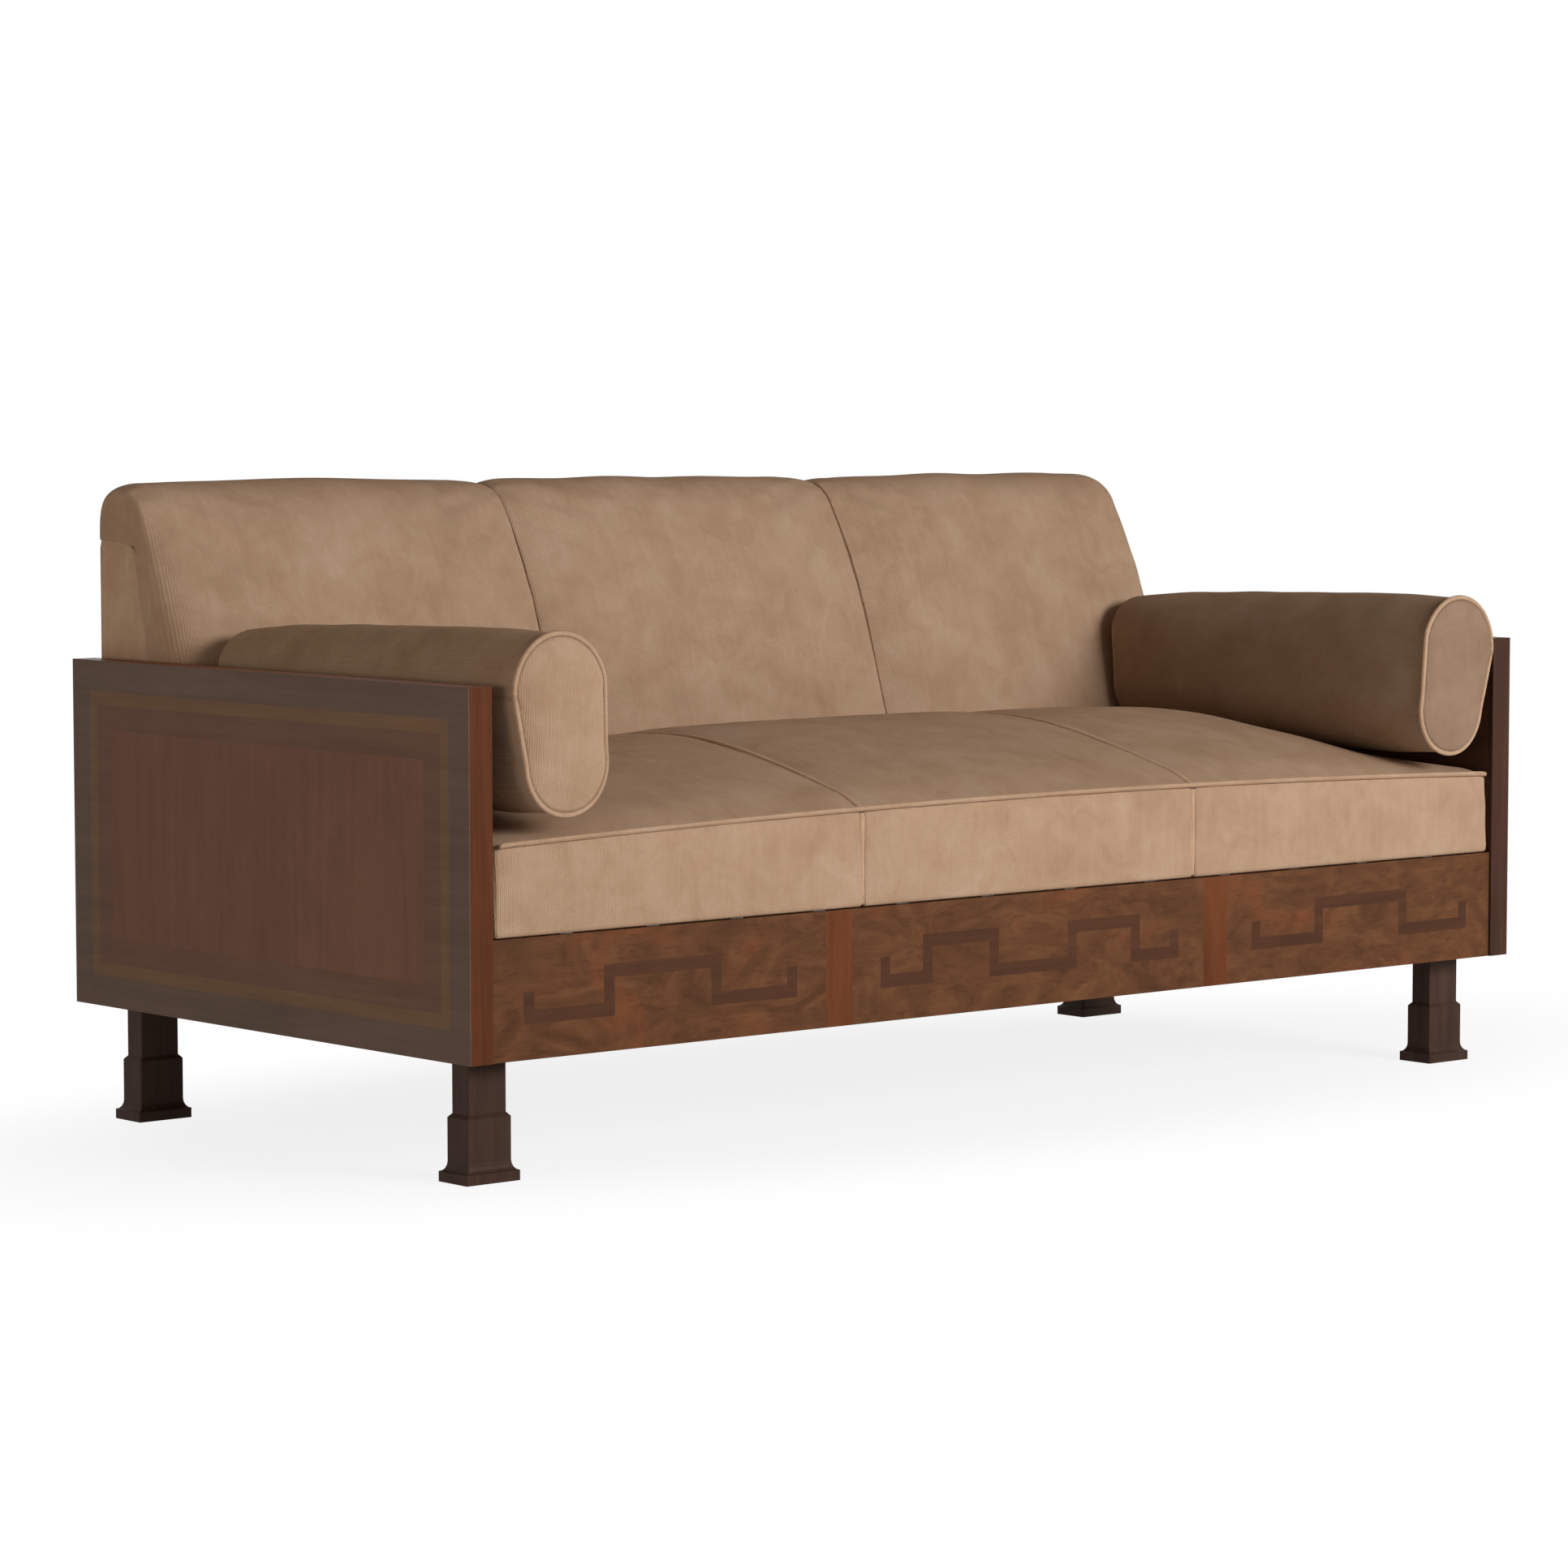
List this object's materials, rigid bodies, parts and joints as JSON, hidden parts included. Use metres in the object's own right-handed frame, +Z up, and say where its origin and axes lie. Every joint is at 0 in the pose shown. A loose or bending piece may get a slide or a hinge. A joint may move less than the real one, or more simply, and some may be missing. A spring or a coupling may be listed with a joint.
{
  "type": "sofa",
  "caption": "Low-armed art deco sofa with inlaid flat side panels, a meander-inlaid front rail, stepped legs, a crowned velvet seat, a padded sectioned back and loose bolsters",
  "frame": {"origin": "on the floor, in the middle of the outline seen from above", "axes": "+X along the sofa to the right as seen from its front, -Y to its front, +Z up"},
  "size_m": [1.9, 0.91, 0.86],
  "materials": {
    "velvet": "short pile velvet, taupe, soft sheen",
    "velvet_welt": "velvet piping in the cover colour",
    "core_board": "board, stained brown",
    "lipping": "reddish mahogany lipping, satin polish",
    "border_veneer": "dark grey-brown veneer, satin polish",
    "banding": "light golden-brown banding, satin polish",
    "crossband_veneer": "dark brown crossband, satin polish",
    "field_veneer": "figured reddish-brown veneer, satin polish",
    "rail_veneer": "figured walnut veneer, satin polish",
    "rail_band": "reddish upright band, satin polish",
    "key_inlay": "dark inlay, satin polish",
    "rail_wood": "brown stained hardwood",
    "leg_wood": "dark stained hardwood, satin polish",
    "frame_wood": "plain hardwood",
    "steel": "bright drawn steel",
    "filling": "soft filling",
    "hessian": "woven jute",
    "lining": "black lining cloth"
  },
  "bodies": {
    "sofa": {"back_cover_centre": "velvet", "back_cover_left": "velvet", "back_cover_right": "velvet", "back_end_covers": "velvet", "back_end_ribs": "frame_wood", "back_fillings": "filling", "back_hessian": "hessian", "back_middle_ribs": "frame_wood", "back_top_rail": "frame_wood", "back_tuck_rails": "frame_wood", "back_webbing": "hessian", "corner_blocks": "frame_wood", "corner_screws": "steel", "cross_bars": "frame_wood", "dust_cover": "lining", "frame_dowels": "frame_wood", "front_bands": "rail_band", "front_key_centre": "key_inlay", "front_key_left": "key_inlay", "front_key_right": "key_inlay", "front_left_leg": "leg_wood", "front_rail": "rail_wood", "front_right_leg": "leg_wood", "front_veneers": "rail_veneer", "left_end_rail": "frame_wood", "left_panel_banding": "banding", "left_panel_board": "core_board", "left_panel_border": "border_veneer", "left_panel_crossband": "crossband_veneer", "left_panel_field": "field_veneer", "left_panel_lippings": "lipping", "leg_bolts": "steel", "outside_back": "velvet", "panel_bolts": "steel", "rear_left_leg": "leg_wood", "rear_rail": "rail_wood", "rear_right_leg": "leg_wood", "right_end_rail": "frame_wood", "right_panel_banding": "banding", "right_panel_board": "core_board", "right_panel_border": "border_veneer", "right_panel_crossband": "crossband_veneer", "right_panel_field": "field_veneer", "right_panel_lippings": "lipping", "seat_cover_centre": "velvet", "seat_cover_left": "velvet", "seat_cover_right": "velvet", "seat_filling": "filling", "seat_front_welt": "velvet_welt", "seat_hessian": "hessian", "seat_seam_welts": "velvet_welt", "seat_springs": "steel", "spring_clips": "steel", "spring_rails": "frame_wood"},
    "left_bolster": {"left_bolster_cover": "velvet", "left_bolster_filling": "filling", "left_bolster_welts": "velvet_welt"},
    "right_bolster": {"right_bolster_cover": "velvet", "right_bolster_filling": "filling", "right_bolster_welts": "velvet_welt"}
  },
  "joints": [
    {"name": "left_bolster_lift", "type": "slide", "parent": "sofa", "child": "left_bolster", "axis": [0, 0, 1], "range_m": [0, 0.45]},
    {"name": "right_bolster_lift", "type": "slide", "parent": "sofa", "child": "right_bolster", "axis": [0, 0, 1], "range_m": [0, 0.45]}
  ]
}
